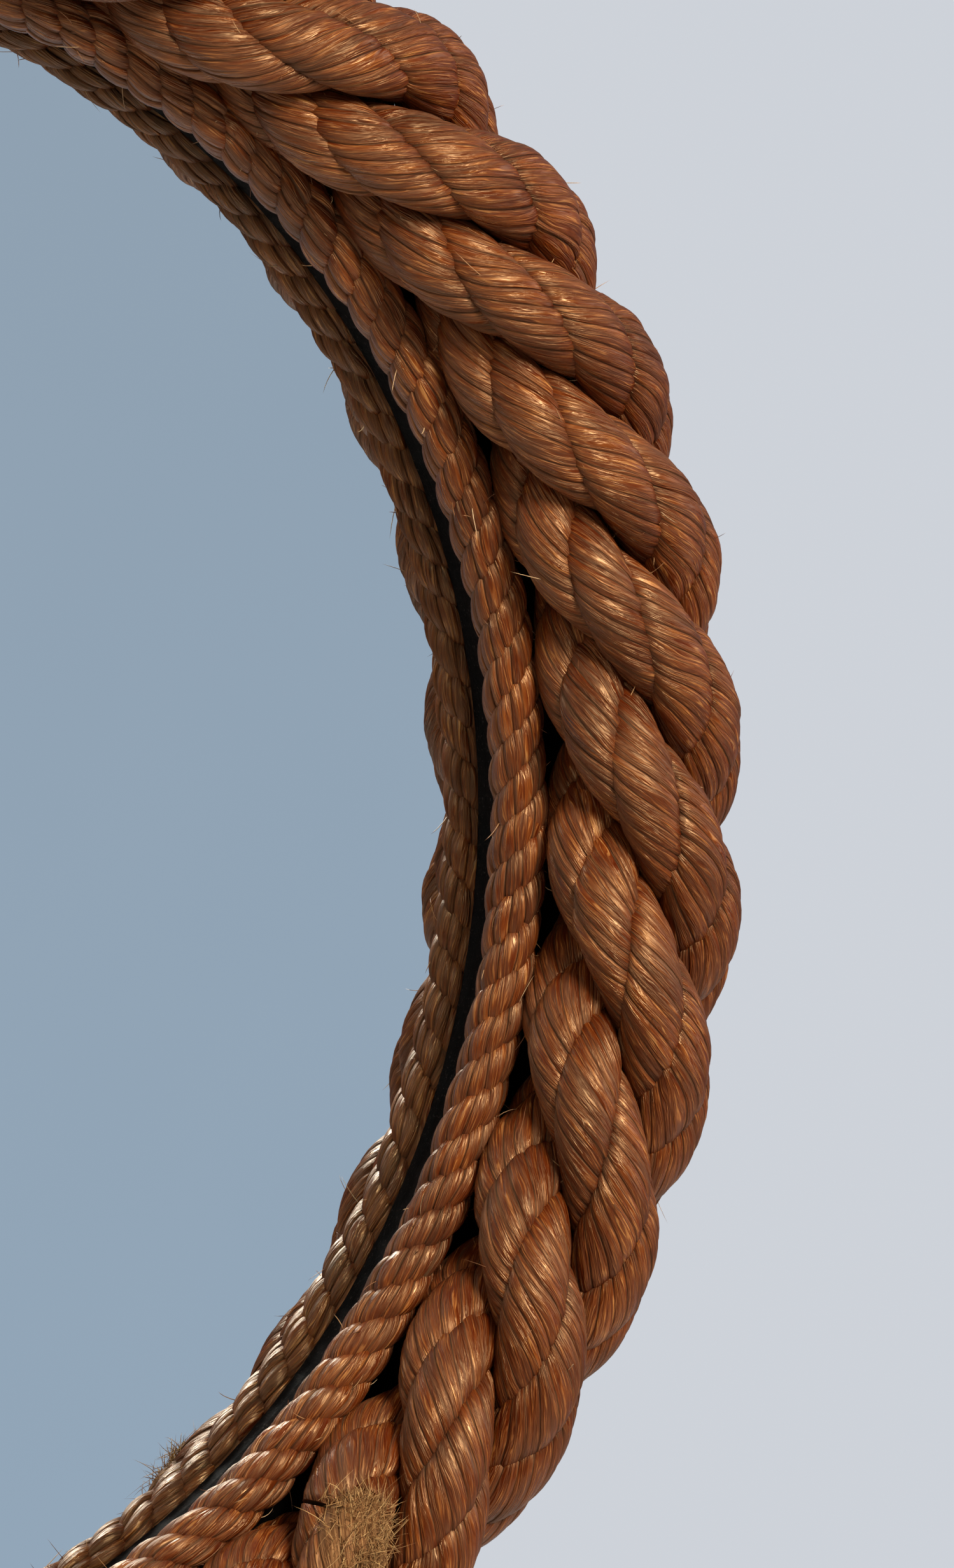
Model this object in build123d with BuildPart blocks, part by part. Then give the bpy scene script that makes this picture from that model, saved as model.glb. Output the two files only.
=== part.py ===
"""Round wall mirror framed by a cable-laid rope wreath, with a thinner rope inside it.

Frame: X to the right and Z up as the mirror hangs, -Y out of the wall towards the viewer.
The origin is on the wall plane, behind the centre of the glass. All sizes are millimetres.
"""
from math import cos, pi, radians, sin, tan
import os

from build123d import *

os.makedirs("parts", exist_ok=True)

# ---- driving dimensions: heights are distances from the wall towards the viewer ----
WALL_GAP = 7.0            # the bumpers hold the back this far off the wall
BOARD_THICKNESS = 12.0
BOARD_OUTER_R = 286.0
BOARD_INNER_R = 238.0
LIP_THICKNESS = 4.5       # the stop that the glass rests against, from behind
RABBET_R = 251.0
GLASS_R = 250.0
GLASS_THICKNESS = 4.0
BACKING_THICKNESS = 3.2

INNER_ROPE_D = 16.8       # plain three-strand rope round the opening
INNER_ROPE_R = 240.8      # radius of its centre line

ROPE_D = 23.0             # one of the three ropes of the wreath
WREATH_R = 272.4          # radius of the wreath's centre line
WREATH_TURNS = 11         # turns that each rope makes round that line
WREATH_HELIX_WIDTH = 17.0 # how far each rope's centre swings in and out of that line,
WREATH_HELIX_DEPTH = 14.2 # and how far to and from the board, which flattens the wreath
ROPE_SETTLE = 12.0        # height of a rope's centre where it lies on the board
WREATH_PHASE = radians(6.0)
WREATH_ROPES = 3
POINTS_PER_TURN = 8
CORNER_ALLOWANCE = 1.05   # the arcs pass this far inside the route's points
ROPE_END_GAP = 0.4        # between the two ends of a rope, as an angle in degrees
# Where each rope's ends meet, in degrees: two are hidden under the wreath at its bottom, and the
# third shows on the wreath's inner side, at its lower right.
ROPE_END_ANGLES = (-82.4, -93.3, -49.0)

BUTTONS = 6
BUTTON_PIVOT_R = 259.0
BUTTON_LENGTH = 32.0
BUTTON_WIDTH = 10.0
BUTTON_THICKNESS = 1.5
BUTTON_OVERHANG = 8.0     # from the pivot to the button's short end
FREE_GAP = 0.3            # between pieces that turn past each other
RUNNING_CLEARANCE = 0.05
BUTTON_SCREW_R = 1.8

HANGER_ANGLES = {"left": 148.0, "right": 32.0}
HANGER_SPOT_R = 274.0
HANGER_WIDTH = 14.0
HANGER_LENGTH = 34.0
HANGER_THICKNESS = 1.6
LOOP_R = 3.2
WIRE_R = 1.25
RING_HALF_WIDTH = 13.0
RING_SHOULDER = 4.0       # straight drop at each side of the ring before its round end
RING_CORNER_R = 3.5
HANGER_SCREW_DROPS = (10.0, 27.0)
HANGER_SCREW_R = 1.5

BUMPER_ANGLES = (15.0, 165.0, 235.0, 305.0)
BUMPER_SPOT_R = 272.0
BUMPER_R = 7.0

WREATH_SCREWS = 16
INNER_SCREWS = 12
INNER_SCREW_OFFSET = 15.0
INNER_SCREW_R = 242.5     # a little outside the rope's centre, clear of the lip's edge
GRIP = 0.05               # a thread's bite into its pilot hole

# ---- sizes worked out from them ----
BOARD_FRONT = WALL_GAP + BOARD_THICKNESS
GLASS_FRONT = BOARD_FRONT - LIP_THICKNESS
GLASS_REAR = GLASS_FRONT - GLASS_THICKNESS
WREATH_HEIGHT = BOARD_FRONT + WREATH_HELIX_DEPTH + ROPE_SETTLE
INNER_ROPE_HEIGHT = BOARD_FRONT + INNER_ROPE_D / 2
LOOP_HEIGHT = WALL_GAP - LOOP_R


def front_plane(height):
    """A plane facing the viewer, at a height off the wall; its x and y are X and Z."""
    return Plane.XZ.offset(height)


def rear_plane(x, z, height):
    """A plane facing the wall, whose own y is +Z."""
    return Plane(origin=(x, -height, z), x_dir=(-1, 0, 0), z_dir=(0, 1, 0))


def polar(radius, degrees):
    return radius * cos(radians(degrees)), radius * sin(radians(degrees))


def save(part, label):
    part.label = label
    export_step(part, f"parts/{label}.step")


# The places, in degrees round the ring, where a rope of the wreath lies on the board.
def contact_angle(lobe):
    return (180.0 - 120.0 * lobe - WREATH_PHASE * 180.0 / pi) / WREATH_TURNS


wreath_screw_angles = [contact_angle(2 * i) for i in range(WREATH_SCREWS)]
inner_screw_angles = [INNER_SCREW_OFFSET + 360.0 / INNER_SCREWS * i for i in range(INNER_SCREWS)]
button_angles = [360.0 / BUTTONS * i for i in range(BUTTONS)]
hanger_spots = {side: polar(HANGER_SPOT_R, angle) for side, angle in HANGER_ANGLES.items()}

wreath_screw_planes = [rear_plane(*polar(WREATH_R, a), WALL_GAP) for a in wreath_screw_angles]
inner_screw_planes = [rear_plane(*polar(INNER_SCREW_R, a), GLASS_FRONT) for a in inner_screw_angles]
button_planes = [rear_plane(*polar(BUTTON_PIVOT_R, a), WALL_GAP) for a in button_angles]
hanger_screw_planes = [
    rear_plane(x, z - drop, WALL_GAP) for x, z in hanger_spots.values() for drop in HANGER_SCREW_DROPS
]

# ---- frame_ring: black board with a lip in front and a rabbet behind ----
with BuildPart() as frame_ring:
    with BuildSketch(front_plane(WALL_GAP)):
        Circle(BOARD_OUTER_R)
        Circle(BOARD_INNER_R, mode=Mode.SUBTRACT)
    extrude(amount=BOARD_THICKNESS)
    with BuildSketch(front_plane(WALL_GAP)):
        Circle(RABBET_R)
    extrude(amount=BOARD_THICKNESS - LIP_THICKNESS, mode=Mode.SUBTRACT)
    outer_edges = frame_ring.edges().filter_by(GeomType.CIRCLE).filter_by(
        lambda edge: abs(edge.radius - BOARD_OUTER_R) < 1e-3
    )
    fillet(outer_edges, radius=2.0)
    with Locations(*[Location(plane) for plane in wreath_screw_planes]):
        CounterSinkHole(radius=2.25, counter_sink_radius=4.3, counter_sink_angle=90)
    with Locations(*[Location(plane) for plane in inner_screw_planes]):
        CounterSinkHole(radius=1.6, counter_sink_radius=3.1, counter_sink_angle=90)
    with Locations(*[Location(plane) for plane in button_planes]):
        Hole(radius=BUTTON_SCREW_R - GRIP, depth=10.0)
    with Locations(*[Location(plane) for plane in hanger_screw_planes]):
        Hole(radius=HANGER_SCREW_R - GRIP, depth=10.5)
save(frame_ring.part, "frame_ring")

# ---- mirror_glass and backing_panel, both dropped into the rabbet from behind ----
with BuildPart() as mirror_glass:
    with BuildSketch(front_plane(GLASS_REAR)):
        Circle(GLASS_R)
    extrude(amount=GLASS_THICKNESS)
    chamfer(mirror_glass.edges().filter_by(GeomType.CIRCLE), length=0.6)
save(mirror_glass.part, "mirror_glass")

with BuildPart() as backing_panel:
    with BuildSketch(front_plane(WALL_GAP)):
        Circle(GLASS_R)
    extrude(amount=BACKING_THICKNESS)
save(backing_panel.part, "backing_panel")


# ---- the three ropes of the wreath ----
def wreath_point(rope, turn, allowance=0.0):
    """A point of a rope's route: turn counts its turns round the wreath's centre line,
    and allowance is how much further out than the rope itself it lies."""
    around = 2 * pi * turn / WREATH_TURNS
    phase = 2 * pi * turn + WREATH_PHASE + 2 * pi * rope / WREATH_ROPES
    radius = WREATH_R - (WREATH_HELIX_WIDTH + allowance) * sin(phase)
    height = WREATH_HEIGHT + (WREATH_HELIX_DEPTH + allowance) * cos(phase)
    return Vector(radius * cos(around), -height, radius * sin(around))


def corner_radii(points):
    """The largest arc that each corner of the route has room for."""
    radii = []
    for before, corner, after in zip(points, points[1:], points[2:]):
        turn = (corner - before).get_angle(after - corner)
        shorter_run = min((corner - before).length, (after - corner).length)
        radii.append(0.45 * shorter_run / tan(radians(turn) / 2))
    return radii


def wreath_rope(rope):
    steps = WREATH_TURNS * POINTS_PER_TURN
    end_gap = ROPE_END_GAP / 360 * WREATH_TURNS
    start = (ROPE_END_ANGLES[rope] + ROPE_END_GAP / 2) / 360 * WREATH_TURNS
    turns = [start + (WREATH_TURNS - end_gap) * step / steps for step in range(steps + 1)]
    points = [
        wreath_point(rope, turns[0]),
        *[wreath_point(rope, turn, CORNER_ALLOWANCE) for turn in turns[1:-1]],
        wreath_point(rope, turns[-1]),
    ]
    radii = corner_radii(points)
    with BuildPart() as one_rope:
        with BuildLine() as route:
            FilletPolyline(*points, radius=radii)
        path = route.wire()
        with BuildSketch(Plane(origin=path @ 0, z_dir=path % 0)):
            Circle(ROPE_D / 2)
        sweep(path=path)
    expected = pi * ROPE_D**2 / 4 * path.length
    print(
        f"wreath rope {rope + 1}: length {path.length:.0f} mm, arcs {min(radii):.1f} to {max(radii):.1f} mm,",
        f"volume is {one_rope.part.volume / expected:.4f} of section times length",
    )
    return one_rope.part


for rope in range(WREATH_ROPES):
    save(wreath_rope(rope), f"wreath_rope_{rope + 1}")

# ---- inner_rope: one ring of plain rope that lies on the lip ----
with BuildPart() as inner_rope:
    with BuildSketch(Plane.XY):
        with Locations((INNER_ROPE_R, -INNER_ROPE_HEIGHT)):
            Circle(INNER_ROPE_D / 2)
    revolve(axis=Axis.Y, revolution_arc=359.7)
save(inner_rope.part, "inner_rope")


# ---- screws: each points away from the wall, its head nearest the wall ----
def screw(head_r, head_depth, shank_r, length, rounded):
    """One screw on the XY plane, its point down along -Z and the board's surface at z = 0."""
    with BuildPart() as one_screw:
        with BuildSketch(Plane.XZ):
            with BuildLine():
                if rounded:
                    top = (0, head_depth)
                    Polyline(top, (head_r * 0.6, head_depth), (head_r, head_depth * 0.4), (head_r, 0),
                             (shank_r, 0), (shank_r, -length + 4), (0, -length), top)
                else:
                    top = (0, 0)
                    Polyline(top, (head_r, 0), (shank_r, -head_depth), (shank_r, -length + 4),
                             (0, -length), top)
            make_face()
        revolve(axis=Axis.Z)
        with BuildSketch(Plane.XY.offset(top[1])):
            Rectangle(head_r * 1.05, head_r * 0.24)
            Rectangle(head_r * 0.24, head_r * 1.05)
        extrude(amount=-0.45 * head_r, mode=Mode.SUBTRACT)
    return one_screw.part


def screw_group(pattern, planes, lift=0.0):
    """Copies of one screw, each standing on its plane, in one node."""
    with BuildPart() as group:
        with Locations(*[Location(plane.offset(lift)) for plane in planes]):
            add(pattern)
    return group.part


wreath_screw = screw(head_r=4.2, head_depth=2.1, shank_r=2.1, length=30.0, rounded=False)
inner_screw = screw(head_r=3.0, head_depth=1.5, shank_r=1.5, length=14.0, rounded=False)
button_screw = screw(head_r=3.6, head_depth=2.2, shank_r=BUTTON_SCREW_R, length=11.0, rounded=True)
hanger_screw = screw(head_r=3.0, head_depth=1.5, shank_r=HANGER_SCREW_R, length=12.0, rounded=False)
button_head_lift = BUTTON_THICKNESS + 2 * FREE_GAP

save(screw_group(wreath_screw, wreath_screw_planes), "wreath_screws")
save(screw_group(inner_screw, inner_screw_planes), "inner_rope_screws")
save(screw_group(button_screw, button_planes, button_head_lift), "turn_button_screws")
save(screw_group(hanger_screw, hanger_screw_planes, HANGER_THICKNESS), "hanger_screws")


# ---- turn buttons: each turns on its screw, its long end over the backing panel ----
def turn_button(angle):
    x, z = polar(BUTTON_PIVOT_R, angle)
    inward = (-cos(radians(angle)), 0, -sin(radians(angle)))
    face = Plane(origin=(x, -WALL_GAP + FREE_GAP, z), x_dir=inward, z_dir=(0, 1, 0))
    with BuildPart() as button:
        with BuildSketch(face):
            with Locations((BUTTON_LENGTH / 2 - BUTTON_OVERHANG, 0)):
                SlotOverall(BUTTON_LENGTH, BUTTON_WIDTH)
            Circle(BUTTON_SCREW_R + RUNNING_CLEARANCE, mode=Mode.SUBTRACT)
        extrude(amount=BUTTON_THICKNESS)
        rim = button.faces().sort_by(Axis.Y)[-1].outer_wire().edges()
        fillet(rim, radius=0.4)
    return button.part


for number, angle in enumerate(button_angles, start=1):
    save(turn_button(angle), f"turn_button_{number}")


# ---- hangers: a strap with a rolled loop, and a ring that swings in the loop ----
def hanger_plate(x, z):
    face = rear_plane(x, z, WALL_GAP)
    with BuildPart() as plate:
        with BuildSketch(face):
            with Locations((0, -HANGER_LENGTH / 2)):
                Rectangle(HANGER_WIDTH, HANGER_LENGTH)
        extrude(amount=HANGER_THICKNESS)
        lower_corners = plate.edges().filter_by(Axis.Y).group_by(Axis.Z)[0]
        fillet(lower_corners, radius=HANGER_WIDTH / 2 - 0.5)
        side = Plane(origin=(x, -LOOP_HEIGHT, z), x_dir=(0, 1, 0), z_dir=(1, 0, 0))
        with BuildSketch(side):
            Circle(LOOP_R)
        extrude(amount=HANGER_WIDTH / 2, both=True)
        with BuildSketch(side):
            Circle(WIRE_R + RUNNING_CLEARANCE)
        extrude(amount=HANGER_WIDTH, both=True, mode=Mode.SUBTRACT)
        with Locations(*[Location(rear_plane(x, z - drop, WALL_GAP - HANGER_THICKNESS))
                         for drop in HANGER_SCREW_DROPS]):
            CounterSinkHole(radius=HANGER_SCREW_R + 0.1, counter_sink_radius=3.1, counter_sink_angle=90)
    return plate.part


def hanger_ring(x, z):
    """A D-shaped wire ring that hangs down, its straight side through the plate's loop."""
    face = rear_plane(x, z, LOOP_HEIGHT)
    half, corner = RING_HALF_WIDTH, RING_CORNER_R
    with BuildPart() as ring:
        with BuildLine(face) as outline:
            Line((0, 0), (half - corner, 0))
            RadiusArc((half - corner, 0), (half, -corner), corner)
            Line((half, -corner), (half, -RING_SHOULDER))
            RadiusArc((half, -RING_SHOULDER), (0, -RING_SHOULDER - half), half)
            RadiusArc((0, -RING_SHOULDER - half), (-half, -RING_SHOULDER), half)
            Line((-half, -RING_SHOULDER), (-half, -corner))
            RadiusArc((-half, -corner), (corner - half, 0), corner)
            Line((corner - half, 0), (0, 0))
        path = outline.wire()
        with BuildSketch(Plane(origin=path @ 0, z_dir=path % 0)):
            Circle(WIRE_R)
        sweep(path=path)
    return ring.part


for side_name, (x, z) in hanger_spots.items():
    save(hanger_plate(x, z), f"hanger_plate_{side_name}")
    save(hanger_ring(x, z), f"hanger_ring_{side_name}")

# ---- wall_bumpers: four felt pads that stand the back off the wall ----
with BuildPart() as wall_bumpers:
    for angle in BUMPER_ANGLES:
        with BuildSketch(rear_plane(*polar(BUMPER_SPOT_R, angle), WALL_GAP)):
            Circle(BUMPER_R)
    extrude(amount=WALL_GAP)
save(wall_bumpers.part, "wall_bumpers")
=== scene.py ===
"""Looks for the round rope-framed wall mirror: laid ropes, board, glass and the fittings behind.

Sizes in the rope builders are millimetres, as in a rope maker's table, and MM turns them into
metres. The frame has +Z up, +X right and -Y towards the viewer; heights are off the wall.
"""
import math

import bpy
import numpy as np
from mathutils import Matrix, Vector


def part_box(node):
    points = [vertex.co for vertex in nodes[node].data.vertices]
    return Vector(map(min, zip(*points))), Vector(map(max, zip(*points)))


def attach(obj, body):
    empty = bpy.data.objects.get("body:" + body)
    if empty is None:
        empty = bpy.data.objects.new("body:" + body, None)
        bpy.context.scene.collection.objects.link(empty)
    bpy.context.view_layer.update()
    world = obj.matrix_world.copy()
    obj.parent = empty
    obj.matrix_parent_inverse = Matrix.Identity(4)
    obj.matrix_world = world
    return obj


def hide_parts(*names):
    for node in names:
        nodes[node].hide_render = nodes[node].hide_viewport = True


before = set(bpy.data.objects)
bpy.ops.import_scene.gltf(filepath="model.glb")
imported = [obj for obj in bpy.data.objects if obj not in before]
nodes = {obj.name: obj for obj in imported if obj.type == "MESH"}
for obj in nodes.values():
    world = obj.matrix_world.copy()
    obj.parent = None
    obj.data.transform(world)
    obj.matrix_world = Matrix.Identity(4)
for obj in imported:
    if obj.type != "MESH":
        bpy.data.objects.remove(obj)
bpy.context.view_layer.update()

MM = 0.001
TAU = 2 * math.pi
rng = np.random.default_rng(24)

# ---- driving sizes, in millimetres and radians ----
GLASS_FRONT = -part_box("mirror_glass")[0].y / MM
BOARD_FRONT = -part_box("frame_ring")[0].y / MM

# A route: the ring that a rope follows, and how far it swings across and off the board round it.
# The wreath is a little out of round: it is drawn in by its "dent" at the upper right.
WREATH = dict(ring_r=272.4, height=BOARD_FRONT + 26.2, width=17.0, depth=14.2, turns=11,
              phase=math.radians(6.0), sway=0.5, dent=3.2, steps=1100)
INNER = dict(ring_r=240.8, height=BOARD_FRONT + 8.4, width=0.0, depth=0.0, turns=0,
             phase=0.0, sway=0.35, dent=0.0, steps=1150)
# A lay: how three strands are laid up into a rope, and yarns into a strand.
WREATH_LAY = dict(helix_r=6.5, turns=22, out_r=7.0, side_r=9.1, yarns=8, yarn_turns=64,
                  per_yarn=10, relief=(0.35, 0.9), swell=0.3)
INNER_LAY = dict(helix_r=4.05, turns=42, out_r=4.5, side_r=5.4, yarns=5, yarn_turns=86,
                 per_yarn=12, relief=(0.6, 1.2), swell=0.3)
# How far a strand's columns of vertices crowd towards the grooves between its yarns.
CROWDING = 0.72
# Where on the ring the wreath's dent is, and how far it reaches to each side.
DENT_AT, DENT_REACH = math.radians(56.0), math.radians(20.0)
# Two of the wreath's ropes have their ends out of sight; the third one's ends meet in view.
VISIBLE_ENDS = math.radians(-49.0)
END_GAP = math.radians(0.06)
# How far back from that end the rope is frayed.
FRAYED_REACH = math.radians(4.6)
# No stray fibre's tip stands further than this in front of its root.
FIBRE_RISE = 6.0
STRANDS = 3


# ---- small helpers on arrays of points ----
def unit(v):
    return v / np.linalg.norm(v, axis=-1, keepdims=True)


def dot(a, b):
    return (a * b).sum(-1, keepdims=True)


def around_ring(theta):
    """The ring's outward and frontward directions at each angle."""
    zero = np.zeros_like(theta)
    outward = np.stack([np.cos(theta), zero, np.sin(theta)], -1)
    frontward = np.stack([zero, zero - 1, zero], -1)
    return outward, frontward


def wander(theta, size, low, high, waves=4):
    """A smooth random wobble that closes on itself round the ring, made of a few sine waves."""
    total = np.zeros_like(theta)
    for _ in range(waves):
        total += np.sin(rng.integers(low, high) * theta + rng.uniform(0, TAU))
    return size * total / math.sqrt(waves)


# ---- ropes ----
class Rope:
    """The centre line of one rope, which winds left-handed (S) round its ring, with the two
    directions across it. A rope whose ends are in view is an open row of points."""

    def __init__(self, route, share=0.0, ends=None):
        steps = route["steps"]
        self.closed = ends is None
        if self.closed:
            self.theta = np.arange(steps) * TAU / steps
        else:
            self.theta = ends + END_GAP / 2 + np.linspace(0, TAU - END_GAP, steps)
        theta = self.theta
        outward, frontward = around_ring(theta)
        turn = route["turns"] * theta + route["phase"] + TAU * share
        turn_sway = 0.02 if route["turns"] else 0.0
        turn = turn + wander(theta, turn_sway, 5, 24)
        radius = route["ring_r"] - route["width"] * np.sin(turn)
        radius = radius + wander(theta, route["sway"], 4, 30)
        from_dent = np.angle(np.exp(1j * (theta - DENT_AT)))
        radius = radius - route["dent"] * np.exp(-((from_dent / DENT_REACH) ** 2))
        height = route["height"] + route["depth"] * np.cos(turn)
        self.centre = radius[:, None] * outward + height[:, None] * frontward
        self.along = unit(self.slope(self.centre))
        self.first = unit(frontward - dot(frontward, self.along) * self.along)
        self.second = np.cross(self.along, self.first)
        self.frayed = np.zeros(steps)
        if not self.closed:
            self.frayed = np.clip(1 - (theta[-1] - theta) / FRAYED_REACH, 0, 1)

    def slope(self, points):
        """The derivative along the rope, per step."""
        if self.closed:
            return (np.roll(points, -1, 0) - np.roll(points, 1, 0)) / 2
        return np.gradient(points, axis=0)


def build_mesh(name, points, corners, starts):
    """A mesh from its points in millimetres, one row of all its faces' corners, and the place in
    that row where each face starts."""
    mesh = bpy.data.meshes.new(name)
    mesh.vertices.add(len(points))
    mesh.vertices.foreach_set("co", (points * MM).astype(np.float32).ravel())
    mesh.loops.add(len(corners))
    mesh.loops.foreach_set("vertex_index", corners.astype(np.int32))
    mesh.polygons.add(len(starts))
    mesh.polygons.foreach_set("loop_start", starts.astype(np.int32))
    mesh.update(calc_edges=True)
    return mesh


def tube_mesh(name, points, closed, across, along):
    """A tube through rows of points. Its ends are capped unless it closes on itself. Its map,
    "fibre", holds millimetres across and along the fibres, with no seam where the columns meet."""
    rows, columns = points.shape[:2]
    index = np.arange(rows * columns).reshape(rows, columns)
    spans = rows if closed else rows - 1
    near, far = index, np.roll(index, -1, 0)
    quads = np.stack([near, np.roll(near, -1, 1), np.roll(far, -1, 1), far], -1)
    quads = quads[:spans].reshape(-1, 4)
    corners = [quads.ravel()]
    starts = [np.arange(len(quads)) * 4]
    if not closed:
        corners += [index[0, ::-1], index[-1]]
        starts += [np.array([quads.size, quads.size + columns])]
    corners, starts = np.concatenate(corners), np.concatenate(starts)

    mesh = build_mesh(name, points.reshape(-1, 3), corners, starts)
    mesh.polygons.foreach_set("use_smooth", np.arange(len(starts)) < len(quads))

    across = np.append(across, 2 * across[-1] - across[-2])
    along = np.append(along, 2 * along[-1] - along[-2])
    row, column = np.divmod(np.arange(spans * columns), columns)
    places = np.stack([
        np.stack([across[column + right], along[row + up]], -1)
        for right, up in ((0, 0), (1, 0), (1, 1), (0, 1))
    ], 1).reshape(-1, 2)
    ends = np.zeros((len(corners) - len(places), 2))
    layer = mesh.uv_layers.new(name="fibre")
    layer.uv.foreach_set("vector", np.concatenate([places, ends]).astype(np.float32).ravel())
    return mesh


def add_values(mesh, **layers):
    """Float attributes, one value for each vertex."""
    for label, values in layers.items():
        layer = mesh.attributes.new(label, "FLOAT", "POINT")
        layer.data.foreach_set("value", np.ascontiguousarray(values, dtype=np.float32).ravel())


def strand_mesh(name, rope, lay, share):
    """One strand, laid right-handed (Z) in its rope, with its yarns laid S. Its rows of vertices
    follow the yarns, so that each yarn is a clean ridge."""
    theta, yarns, per_yarn = rope.theta, lay["yarns"], lay["per_yarn"]
    turn = lay["turns"] * theta + TAU * share + wander(theta, 0.07, 4, 40)
    radial = np.cos(turn)[:, None] * rope.first + np.sin(turn)[:, None] * rope.second
    helix_r = lay["helix_r"] + wander(theta, 0.15, 20, 90)
    line = rope.centre + helix_r[:, None] * radial
    strand_along = unit(rope.slope(line))
    up = unit(radial - dot(radial, strand_along) * strand_along)
    side = np.cross(strand_along, up)

    # Each yarn has its own place, width, height and depth of groove, and they wander along it.
    edges = np.stack([k + wander(theta, 0.18, 5, 90) for k in range(yarns)], -1)
    edges = np.concatenate([edges, edges[:, :1] + yarns], 1)
    swell = np.stack([wander(theta, lay["swell"], 5, 60) for _ in range(yarns)], -1)
    low, high = lay["relief"]
    middle, reach = (low + high) / 2, (high - low) / 2
    groove = np.stack([middle + wander(theta, reach, 9, 80) for _ in range(yarns)], -1)
    tint = np.stack([rng.uniform(0.2, 0.8) + wander(theta, 0.15, 5, 60) for _ in range(yarns)], -1)
    yarn, step = np.divmod(np.arange(yarns * per_yarn), per_yarn)
    share_across = step / per_yarn - CROWDING * np.sin(TAU * step / per_yarn) / TAU
    crest = np.abs(np.sin(np.pi * share_across)) ** 0.5
    place = edges[:, yarn] * (1 - share_across) + edges[:, yarn + 1] * share_across
    beta = TAU * place / yarns - lay["yarn_turns"] * theta[:, None]
    lift = swell[:, yarn] * crest - np.clip(groove[:, yarn], 0.1, None) * (1 - crest)
    scale = 1 + wander(theta, 0.025, 8, 50)[:, None]
    points = (
        line[:, None, :]
        + ((lay["out_r"] * scale + lift) * np.cos(beta))[..., None] * up[:, None, :]
        + ((lay["side_r"] * scale + lift) * np.sin(beta))[..., None] * side[:, None, :]
    )
    width = TAU * (lay["out_r"] + lay["side_r"]) / 2 / yarns
    run = np.linalg.norm(rope.slope(points[:, 0]), axis=-1).mean()
    across = (yarn + share_across) * width
    along = np.arange(len(theta)) * run + rng.uniform(0, 900)
    mesh = tube_mesh(name, points, rope.closed, across, along)
    from_axis = points - rope.centre[:, None, :]
    outer = np.linalg.norm(from_axis, axis=-1) / (lay["helix_r"] + lay["out_r"])
    # A frayed end is frayed on the side that faces the viewer.
    on_front = (unit(from_axis) * unit(rope.first + 0.1 * rope.second)[:, None, :]).sum(-1)
    frayed = rope.frayed[:, None] ** 0.6 * np.clip(2.0 * on_front - 0.2, 0, 1)
    add_values(mesh, ridge=np.broadcast_to(crest, outer.shape), outer=outer,
               tint=tint[:, yarn], frayed=frayed)
    return mesh


# ---- loose fibres ----
def fibre_mesh(name, roots, heading, bend, length, radius, tint):
    """Thin tapered three-sided fibres that curve away from their roots and end in a point."""
    count, rings, sides = len(roots), 4, 3
    first = unit(np.cross(heading, rng.normal(size=heading.shape)))
    second = np.cross(heading, first)
    share = np.linspace(0, 1, rings + 1)[None, :, None]
    curve = share * heading[:, None] + share**2 * bend[:, None]
    line = roots[:, None] + length[:, None, None] * curve
    corner = np.arange(sides) * TAU / sides
    spread = np.cos(corner)[:, None] * first[:, None] + np.sin(corner)[:, None] * second[:, None]
    thick = radius[:, None, None, None] * (1 - 0.5 * share[:, :rings, :, None])
    body = line[:, :rings, None] + thick * spread[:, None]
    points = np.concatenate([body.reshape(count, -1, 3), line[:, rings:]], 1)

    faces = [[2, 1, 0]]
    for ring in range(rings - 1):
        for side in range(sides):
            after = (side + 1) % sides
            faces.append([ring * sides + side, ring * sides + after,
                          (ring + 1) * sides + after, (ring + 1) * sides + side])
    tip, last = rings * sides, (rings - 1) * sides
    faces += [[last + side, last + (side + 1) % sides, tip] for side in range(sides)]
    per_fibre = tip + 1
    corners = np.concatenate(faces)
    starts = np.cumsum([0] + [len(face) for face in faces[:-1]])
    fibre = np.arange(count)[:, None]
    mesh = build_mesh(name, points.reshape(-1, 3), (corners + fibre * per_fibre).ravel(),
                      (starts + fibre * len(corners)).ravel())
    add_values(mesh, tint=np.repeat(tint, per_fibre))
    return mesh


def stray_fibres(name, ropes, surface_r, count, longest):
    """Fibres that have worked loose all over the front and sides of some ropes."""
    roots, headings = [], []
    for rope in ropes:
        row = rng.integers(0, len(rope.theta), count)
        place = rng.uniform(-2.0, 2.0, count)[:, None]
        outward = np.cos(place) * rope.first[row] + np.sin(place) * rope.second[row]
        direction = rng.choice([-1, 1], count)[:, None] * rope.along[row]
        lean = rng.uniform(0.2, 1.6, count)[:, None]
        roots.append(rope.centre[row] + (surface_r - 0.7) * outward)
        headings.append(unit(direction + lean * outward + rng.normal(0, 0.3, (count, 3))))
    roots, headings = np.concatenate(roots), np.concatenate(headings)
    total = len(roots)
    length = 2.5 + longest * rng.uniform(0, 1, total) ** 2.5
    bend = rng.normal(0, 0.22, (total, 3))
    rise = np.maximum(-(headings + bend)[:, 1] * length, FIBRE_RISE)
    length = length * FIBRE_RISE / rise
    return fibre_mesh(name, roots, headings, bend, length, rng.uniform(0.10, 0.20, total),
                      rng.uniform(0, 1, total))


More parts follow.
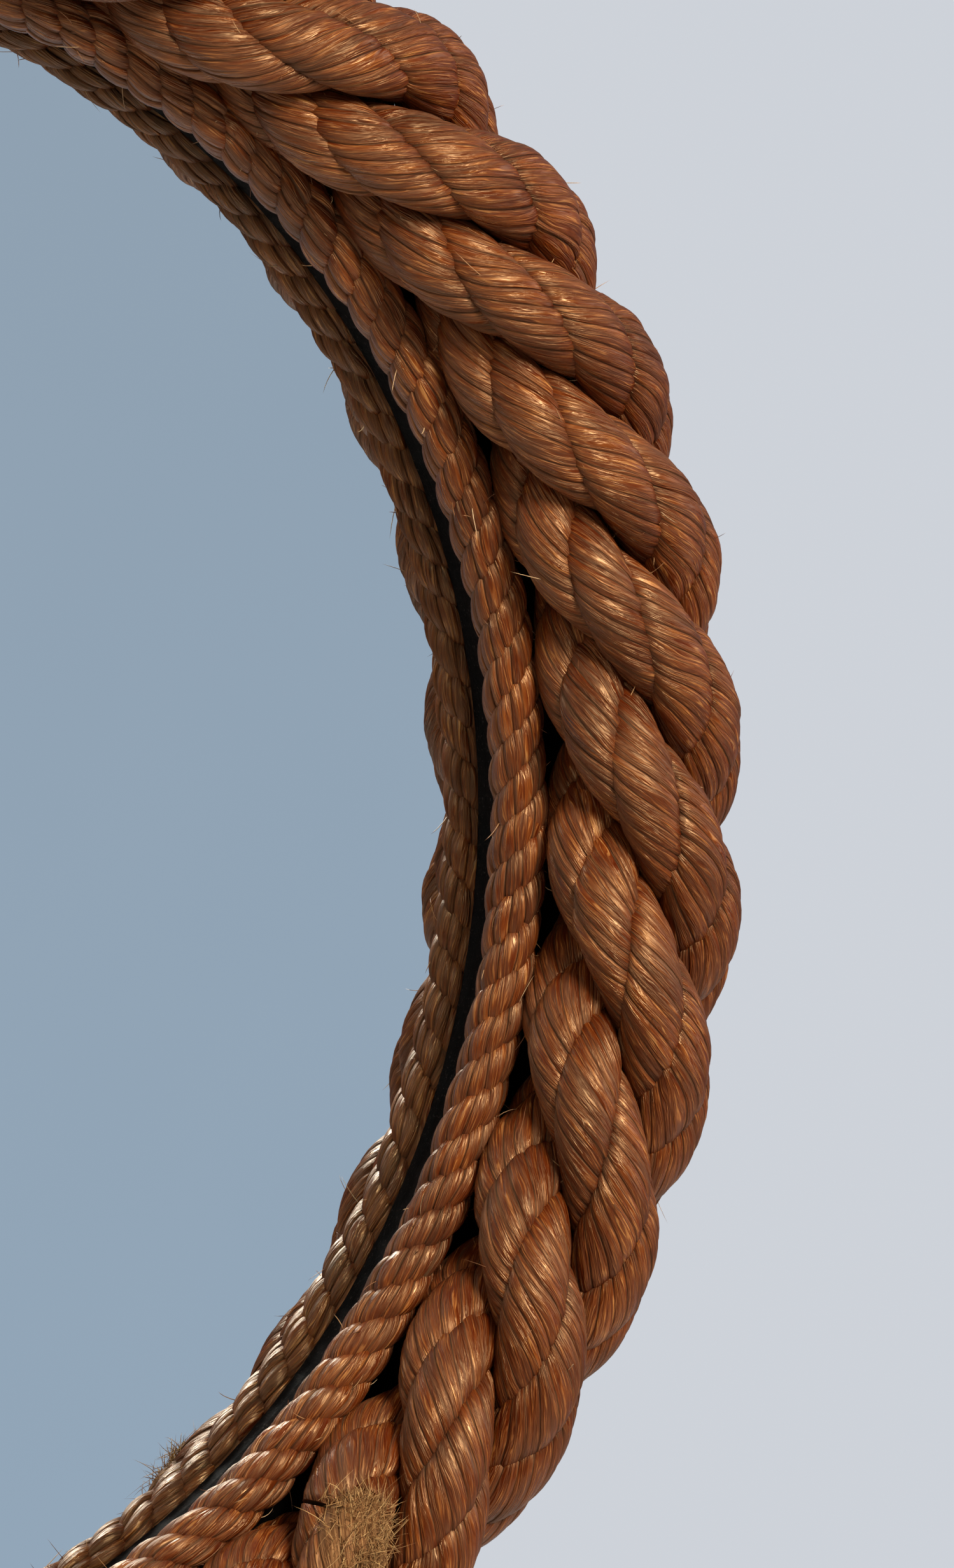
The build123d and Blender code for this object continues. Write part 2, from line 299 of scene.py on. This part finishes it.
def frayed_end(name, rope, surface_r, count):
    """The brush of pale fibres at a rope's cut end: some lie back along it, some stand up."""
    inside = np.flatnonzero(rope.frayed > 0.15)
    row = rng.choice(inside, count, p=rope.frayed[inside] / rope.frayed[inside].sum())
    place = rng.normal(-0.05, 0.45, count)[:, None]
    outward = np.cos(place) * rope.first[row] + np.sin(place) * rope.second[row]
    roots = rope.centre[row] + (surface_r - rng.uniform(0.0, 1.6, count)[:, None]) * outward
    direction = rng.choice([-1, 1, 1, 1], count)[:, None] * rope.along[row]
    lean = rng.uniform(0.0, 0.5, count)[:, None]
    heading = unit(direction + lean * outward + rng.normal(0, 0.6, (count, 3)))
    length = 2.5 + 6.5 * rng.uniform(0, 1, count) ** 2
    bend = rng.normal(0, 0.35, (count, 3)) - 0.25 * outward
    return fibre_mesh(name, roots, heading, bend, length, rng.uniform(0.08, 0.2, count),
                      rng.uniform(0, 1, count))


def add_piece(name, mesh, slot, material, *replaced):
    piece = bpy.data.objects.new(name, mesh)
    bpy.context.collection.objects.link(piece)
    piece.data.materials.append(material)
    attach(piece, "frame")
    if replaced:
        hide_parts(*replaced)


# ---- node helpers ----
def new_material(name, **sockets):
    """A material, its node tree and its shader, with the shader's plain values set by name."""
    material = bpy.data.materials.new(name)
    material.use_nodes = True
    tree = material.node_tree
    shader = tree.nodes["Principled BSDF"]
    for key, value in sockets.items():
        shader.inputs[key.replace("_", " ")].default_value = value
    return material, tree, shader


def feed(tree, socket, value):
    if isinstance(value, bpy.types.NodeSocket):
        tree.links.new(value, socket)
    else:
        socket.default_value = value


def node(tree, kind, inputs=None, **settings):
    made = tree.nodes.new(kind)
    for key, value in settings.items():
        setattr(made, key, value)
    for key, value in (inputs or {}).items():
        feed(tree, made.inputs[key], value)
    return made


def ramp(tree, factor, stops):
    made = node(tree, "ShaderNodeValToRGB", {"Fac": factor})
    elements = made.color_ramp.elements
    while len(elements) < len(stops):
        elements.new(0.5)
    for element, (position, colour) in zip(elements, stops):
        element.position = position
        element.color = (*colour, 1.0)
    return made.outputs["Color"]


def grey(level):
    return (level, level, level)


def maths(tree, operation, first, second=0.0):
    made = node(tree, "ShaderNodeMath", operation=operation)
    feed(tree, made.inputs[0], first)
    feed(tree, made.inputs[1], second)
    return made.outputs[0]


def mix(tree, factor, first, second, blend="MIX"):
    made = node(tree, "ShaderNodeMix", data_type="RGBA", blend_type=blend)
    # A colour mix has its factor in socket 0 and its two colours in 6 and 7.
    for socket, value in zip((0, 6, 7), (factor, first, second)):
        feed(tree, made.inputs[socket], value)
    return made.outputs[2]


def times(tree, first, second):
    return mix(tree, 1.0, first, second, "MULTIPLY")


def remap(tree, value, low, high, new_low, new_high):
    made = node(tree, "ShaderNodeMapRange", {
        "Value": value, "From Min": low, "From Max": high, "To Min": new_low, "To Max": new_high})
    return made.outputs[0]


def attribute(tree, name):
    return node(tree, "ShaderNodeAttribute", attribute_name=name).outputs["Fac"]


def noise(tree, place, scale, detail, roughness, dimensions="3D"):
    scaled = node(tree, "ShaderNodeMapping", {"Vector": place, "Scale": scale})
    inputs = {"Vector": scaled.outputs[0], "Scale": 1.0, "Detail": detail, "Roughness": roughness}
    made = node(tree, "ShaderNodeTexNoise", inputs, noise_dimensions=dimensions)
    return made.outputs["Fac"]


def object_noise(tree, size, detail=2.0, roughness=0.5, stretch=(1, 1, 1)):
    """Noise fixed to the object, with features of about the given size in millimetres."""
    place = node(tree, "ShaderNodeTexCoord").outputs["Object"]
    return noise(tree, place, [s / (size * MM) for s in stretch], detail, roughness)


def add_bump(tree, shader, height, distance, strength=1.0):
    bump = node(tree, "ShaderNodeBump", {
        "Height": height, "Strength": strength, "Distance": distance * MM})
    tree.links.new(bump.outputs[0], shader.inputs["Normal"])


# ---- materials ----
def rope_material():
    """Stained manila: silky fibres whose gloss stretches across them, with painted shade between
    the yarns (where some stain gathers too) and in the hollows between strands, and painted golden
    highlight streaks.
    """
    material, tree, shader = new_material(
        "stained_manila", Specular_IOR_Level=0.95, Specular_Tint=(1.0, 0.63, 0.31, 1.0),
        Anisotropic=0.7)
    ridge, outer, tint, frayed = (
        attribute(tree, name) for name in ("ridge", "outer", "tint", "frayed"))
    fibre = node(tree, "ShaderNodeUVMap", uv_map="fibre").outputs[0]

    def streaks(across, along, detail, place):
        """Noise of the given size in millimetres across and along the fibres."""
        return noise(tree, place, (1 / across, 1 / along, 1.0), detail, 0.6, "2D")

    # The fibres weave a little from side to side in their yarn.
    weave = maths(tree, "SUBTRACT", streaks(2.6, 15.0, 1.0, fibre), 0.5)
    shift = node(tree, "ShaderNodeCombineXYZ", {"X": maths(tree, "MULTIPLY", weave, 2.4)})
    woven = node(tree, "ShaderNodeVectorMath", {0: fibre, 1: shift.outputs[0]},
                 operation="ADD").outputs[0]
    fine = streaks(0.42, 8.0, 2.0, woven)
    bundles = streaks(1.05, 12.0, 2.0, woven)
    patches = streaks(3.4, 26.0, 1.0, woven)

    # The top stop of this ramp paints golden highlight streaks onto the fibres; the lower stops are
    # the fibres' own tone.
    fibre_tone_and_painted_glints = ramp(tree, fine, [(0.30, (0.080, 0.009, 0.001)), (0.47, (0.130, 0.022, 0.003)),
                             (0.59, (0.23, 0.060, 0.010)), (0.69, (0.70, 0.35, 0.10))])
    thick = ramp(tree, bundles, [(0.30, (0.095, 0.011, 0.001)), (0.48, (0.135, 0.023, 0.003)),
                                 (0.68, (0.31, 0.092, 0.016))])
    body = mix(tree, 0.5, fibre_tone_and_painted_glints, thick)
    yarn = ramp(tree, tint, [(0.05, (0.56, 0.42, 0.38)), (0.5, (0.82, 0.72, 0.67)),
                             (0.95, (0.98, 0.94, 0.92))])
    patch = ramp(tree, patches, [(0.36, (0.66, 0.55, 0.52)), (0.60, (1, 1, 1))])
    stain = ramp(tree, object_noise(tree, 24.0), [(0.34, (0.72, 0.60, 0.56)), (0.60, (1, 1, 1))])
    body = times(tree, times(tree, times(tree, body, yarn), patch), stain)
    pale = ramp(tree, fine, [(0.32, (0.070, 0.024, 0.006)), (0.52, (0.21, 0.090, 0.027)),
                             (0.72, (0.42, 0.23, 0.09))])
    body = mix(tree, maths(tree, "MULTIPLY", frayed, 0.9), body, pale)
    # Painted shade: the colour darkens down into the grooves between the yarns, where some stain
    # also gathers.
    groove = ramp(tree, ridge, [(0.05, (0.22, 0.08, 0.05)), (0.50, (1, 1, 1))])
    # Painted shade: the colour darkens where the surface lies close to the rope's axis, in the
    # hollows between the strands.
    painted_cavity_shade = ramp(tree, outer, [(0.68, (0.07, 0.015, 0.01)), (0.80, (0.40, 0.22, 0.16)),
                                (0.91, (1, 1, 1))])
    tree.links.new(times(tree, times(tree, body, groove), painted_cavity_shade), shader.inputs["Base Color"])

    gloss = remap(tree, patches, 0.35, 0.65, 0.46, 0.26)
    dull = maths(tree, "MAXIMUM", frayed, remap(tree, ridge, 0.2, 0.6, 1.0, 0.0))
    rough = maths(tree, "ADD", gloss, maths(tree, "MULTIPLY", dull, 0.35))
    tree.links.new(rough, shader.inputs["Roughness"])
    relief = maths(tree, "ADD", maths(tree, "MULTIPLY", fine, 0.4),
                   maths(tree, "MULTIPLY", bundles, 0.7))
    add_bump(tree, shader, relief, 0.75)
    # The map's first direction runs across the fibres, which is the way their gloss spreads.
    spread = node(tree, "ShaderNodeTangent", direction_type="UV_MAP", uv_map="fibre")
    tree.links.new(spread.outputs[0], shader.inputs["Tangent"])
    return material


def loose_fibre_material(name, stops, rough):
    material, tree, shader = new_material(
        name, Roughness=rough, Specular_Tint=(1.0, 0.85, 0.62, 1.0))
    colour = ramp(tree, attribute(tree, "tint"), stops)
    speckle = ramp(tree, object_noise(tree, 1.5), [(0.35, (0.7, 0.62, 0.58)), (0.6, (1, 1, 1))])
    tree.links.new(times(tree, colour, speckle), shader.inputs["Base Color"])
    return material


def mirror_material():
    """Silvered glass, with a tint so faint that it only dulls what it shows."""
    material, tree, shader = new_material("silvered_glass", Metallic=1.0, Roughness=0.0)
    film = object_noise(tree, 160.0, 3.0)
    tint = ramp(tree, film, [(0.3, (0.775, 0.825, 0.825)), (0.7, (0.80, 0.845, 0.84))])
    tree.links.new(tint, shader.inputs["Base Color"])
    return material


def board_material():
    """Matt black paint over wood, with brush marks round the ring and dust in its pores."""
    material, tree, shader = new_material("black_paint", Specular_IOR_Level=0.06)
    dust = object_noise(tree, 0.9, 3.0, 0.6)
    drift = object_noise(tree, 14.0, 2.0)
    specks = ramp(tree, dust, [(0.60, (0.0020, 0.0014, 0.0013)), (0.76, (0.060, 0.046, 0.040))])
    film = ramp(tree, drift, [(0.40, (0.0020, 0.0014, 0.0013)), (0.70, (0.0060, 0.0040, 0.0036))])
    tree.links.new(mix(tree, 1.0, film, specks, "LIGHTEN"), shader.inputs["Base Color"])
    tree.links.new(remap(tree, drift, 0.3, 0.7, 0.55, 0.80), shader.inputs["Roughness"])
    grain = object_noise(tree, 2.2, 3.0, 0.6)
    add_bump(tree, shader, maths(tree, "ADD", grain, maths(tree, "MULTIPLY", dust, 0.4)), 0.28)
    return material


def hardboard_material():
    """Brown hardboard, its rough side out: a fine screen pressed into matted fibres."""
    material, tree, shader = new_material("hardboard_sheet", Roughness=0.78, Specular_IOR_Level=0.3)
    place = node(tree, "ShaderNodeTexCoord").outputs["Object"]
    parts = node(tree, "ShaderNodeSeparateXYZ", {"Vector": place})
    pitch = 1.7 * MM

    def ribs(axis):
        wave = maths(tree, "MULTIPLY", parts.outputs[axis], math.pi / pitch)
        return maths(tree, "ABSOLUTE", maths(tree, "SINE", wave))

    screen = maths(tree, "MAXIMUM", ribs("X"), ribs("Z"))
    fuzz = object_noise(tree, 0.8, 3.0, 0.65)
    flecks = object_noise(tree, 3.5, 3.0, 0.6, (1.0, 1.0, 0.35))
    clouds = object_noise(tree, 60.0, 2.0)
    body = ramp(tree, flecks, [(0.30, (0.10, 0.050, 0.024)), (0.52, (0.205, 0.112, 0.055)),
                               (0.70, (0.32, 0.195, 0.105))])
    body = times(tree, body, ramp(tree, clouds, [(0.35, grey(0.78)), (0.62, grey(1.0))]))
    body = times(tree, body, ramp(tree, screen, [(0.55, grey(0.70)), (1.0, grey(1.0))]))
    tree.links.new(body, shader.inputs["Base Color"])
    add_bump(tree, shader, maths(tree, "ADD", maths(tree, "MULTIPLY", screen, 0.7), fuzz), 0.22)
    return material


def metal_material(name, colour, dull, rough, tarnish, stretch=(1, 1, 1)):
    """Worn plating: fine rolled scratches, and a duller tarnish in soft patches."""
    material, tree, shader = new_material(name, Metallic=1.0)
    patches = object_noise(tree, tarnish, 4.0, 0.62)
    scratches = object_noise(tree, 0.35, 2.0, 0.6, stretch)
    worn = ramp(tree, scratches, [(0.35, grey(0.80)), (0.65, grey(1.0))])
    clean = times(tree, (*colour, 1.0), worn)
    tarnished = ramp(tree, patches, [(0.46, grey(0.0)), (0.66, grey(0.85))])
    tree.links.new(mix(tree, tarnished, clean, (*dull, 1.0)), shader.inputs["Base Color"])
    roughness = remap(tree, patches, 0.35, 0.65, rough, rough + 0.28)
    tree.links.new(roughness, shader.inputs["Roughness"])
    add_bump(tree, shader, maths(tree, "ADD", scratches, patches), 0.035)
    return material


def felt_material():
    material, tree, shader = new_material("grey_felt", Roughness=0.95, Specular_IOR_Level=0.15,
                                          Sheen_Weight=0.5, Sheen_Roughness=0.5)
    mat = object_noise(tree, 0.55, 4.0, 0.7)
    wisps = object_noise(tree, 2.0, 3.0, 0.6, (1.0, 1.0, 0.3))
    body = ramp(tree, mat, [(0.32, grey(0.045)), (0.52, (0.12, 0.115, 0.11)),
                            (0.70, (0.24, 0.235, 0.225))])
    tree.links.new(times(tree, body, ramp(tree, wisps, [(0.35, grey(0.72)), (0.62, grey(1.0))])),
                   shader.inputs["Base Color"])
    add_bump(tree, shader, maths(tree, "ADD", mat, wisps), 0.35)
    return material


def dress(material, *names):
    """Gives a material to CAD nodes that keep their own shape."""
    for name in names:
        nodes[name].data.materials[0] = material


dress(mirror_material(), "mirror_glass")
dress(board_material(), "frame_ring")
dress(hardboard_material(), "backing_panel")
dress(metal_material("brass_plated_steel", colour=(0.78, 0.56, 0.27), dull=(0.30, 0.19, 0.09),
                     rough=0.24, tarnish=4.0, stretch=(1.0, 1.0, 0.08)),
      *(f"turn_button_{number}" for number in range(1, 7)))
dress(metal_material("zinc_plated_screws", colour=(0.62, 0.61, 0.58), dull=(0.26, 0.24, 0.21),
                     rough=0.30, tarnish=2.5),
      "wreath_screws", "inner_rope_screws", "turn_button_screws", "hanger_screws")
dress(metal_material("nickel_plated_steel", colour=(0.70, 0.68, 0.64), dull=(0.34, 0.30, 0.25),
                     rough=0.20, tarnish=5.0, stretch=(0.08, 1.0, 1.0)),
      "hanger_plate_left", "hanger_plate_right", "hanger_ring_left", "hanger_ring_right")
dress(felt_material(), "wall_bumpers")


# ---- make the ropes ----
def add_strands(rope, lay, replaced, look, start=0.0):
    """A rope's strands, in place of its CAD node."""
    for strand in range(STRANDS):
        name = f"{replaced}_strand_{strand + 1}"
        mesh = strand_mesh(name, rope, lay, strand / STRANDS + start)
        add_piece(name, mesh, "stained_rope", look, replaced)


def make_ropes():
    look = rope_material()
    wreath = [Rope(WREATH, 0 / 3), Rope(WREATH, 1 / 3), Rope(WREATH, 2 / 3, VISIBLE_ENDS)]
    for number, rope in enumerate(wreath, start=1):
        add_strands(rope, WREATH_LAY, f"wreath_rope_{number}", look, number * 0.12)
    inner = Rope(INNER)
    add_strands(inner, INNER_LAY, "inner_rope", look)

    golden = [(0.0, (0.06, 0.018, 0.008)), (0.35, (0.30, 0.12, 0.045)),
              (0.7, (0.55, 0.31, 0.13)), (1.0, (0.72, 0.50, 0.27))]
    straw = [(0.0, (0.13, 0.048, 0.012)), (0.45, (0.34, 0.165, 0.052)), (1.0, (0.62, 0.38, 0.15))]
    loose = loose_fibre_material("loose_fibres", golden, rough=0.42)
    cut = loose_fibre_material("cut_fibres", straw, rough=0.6)
    name = "wreath_stray_fibres"
    strays = stray_fibres(name, wreath, surface_r=12.0, count=230, longest=11.0)
    add_piece(name, strays, "stained_rope", loose)
    name = "inner_rope_stray_fibres"
    strays = stray_fibres(name, [inner], surface_r=8.4, count=420, longest=8.0)
    add_piece(name, strays, "stained_rope", loose)
    name = "frayed_rope_end"
    add_piece(name, frayed_end(name, wreath[2], surface_r=13.2, count=1900), "stained_rope", cut)


make_ropes()


# ---- camera: to the left of the mirror, a long lens, aimed at the right of the ring ----
def make_camera():
    azimuth, elevation, roll = math.radians(33.27), math.radians(3.75), math.radians(0.5)
    distance, target = 1.880, Vector((0.2345, -GLASS_FRONT * MM, 0.0093))
    level = math.cos(elevation)
    away = Vector((-math.sin(azimuth) * level, -math.cos(azimuth) * level, math.sin(elevation)))
    data = bpy.data.cameras.new("camera")
    data.sensor_width = 36.0
    data.lens = 148.9
    camera = bpy.data.objects.new("camera", data)
    bpy.context.collection.objects.link(camera)
    turn = (-away).to_track_quat("-Z", "Y").to_matrix().to_4x4()
    place = Matrix.Translation(target + away * distance)
    camera.matrix_world = place @ turn @ Matrix.Rotation(roll, 4, "Z")
    bpy.context.scene.camera = camera


# ---- lights and surroundings ----
def area_light(name, place, aim, size, power, colour):
    data = bpy.data.lights.new(name, "AREA")
    data.shape = "RECTANGLE"
    data.size, data.size_y = size
    data.energy = power
    data.color = colour
    lamp = bpy.data.objects.new(name, data)
    lamp.location = place
    lamp.rotation_mode = "QUATERNION"
    lamp.rotation_quaternion = (Vector(aim) - Vector(place)).to_track_quat("-Z", "Y")
    lamp.visible_camera = False
    bpy.context.collection.objects.link(lamp)


def make_floor():
    size, drop = 1.5, -0.8
    mesh = bpy.data.meshes.new("floor")
    corners = [(x * size, y * size, drop) for x, y in ((-1, -1), (1, -1), (1, 1), (-1, 1))]
    mesh.from_pydata(corners, [], [(0, 1, 2, 3)])
    floor = bpy.data.objects.new("floor", mesh)
    bpy.context.collection.objects.link(floor)
    pale = new_material("pale_floor", Base_Color=(0.62, 0.62, 0.64, 1.0), Roughness=0.8)[0]
    mesh.materials.append(pale)


def make_room():
    """The world: a pale wall behind the mirror and a blue-grey room in front of it, which the
    glass reflects. What it adds to the light on rough surfaces is dimmer and plain."""
    world = bpy.data.worlds.new("room")
    bpy.context.scene.world = world
    world.use_nodes = True
    tree = world.node_tree
    direction = node(tree, "ShaderNodeTexCoord").outputs["Generated"]
    parts = node(tree, "ShaderNodeSeparateXYZ", {"Vector": direction})
    back = remap(tree, parts.outputs["Y"], -0.35, 0.35, 0.0, 1.0)
    rise = remap(tree, parts.outputs["Z"], -0.25, 0.25, 0.0, 1.0)
    room = mix(tree, rise, (0.372, 0.465, 0.592, 1.0), (0.330, 0.392, 0.480, 1.0))
    seen = mix(tree, back, room, (0.615, 0.645, 0.695, 1.0))
    glow = mix(tree, back, (0.12, 0.11, 0.10, 1.0), (0.23, 0.23, 0.235, 1.0))
    path = node(tree, "ShaderNodeLightPath")
    direct = maths(tree, "MAXIMUM", path.outputs["Is Camera Ray"], path.outputs["Is Singular Ray"])
    background = tree.nodes["Background"]
    tree.links.new(mix(tree, direct, glow, seen), background.inputs["Color"])


make_camera()
make_floor()
make_room()
# Each light's place, the point it is aimed at, its size, its watts and its colour.
area_light("key", (0.35, -1.9, 1.15), (0.2, 0, 0), (0.7, 0.7), 72, (1.0, 0.94, 0.86))
area_light("left", (-1.5, -1.6, 0.9), (0.1, 0, 0), (0.9, 0.9), 9, (1.0, 0.96, 0.92))
area_light("side", (1.6, -0.7, 0.5), (0.2, 0, 0), (0.9, 1.4), 8, (0.95, 0.97, 1.0))
area_light("rear", (-0.7, 1.7, 1.1), (0, 0, 0), (1.2, 1.2), 30, (1.0, 0.98, 0.95))
bpy.context.scene.view_settings.view_transform = "Standard"
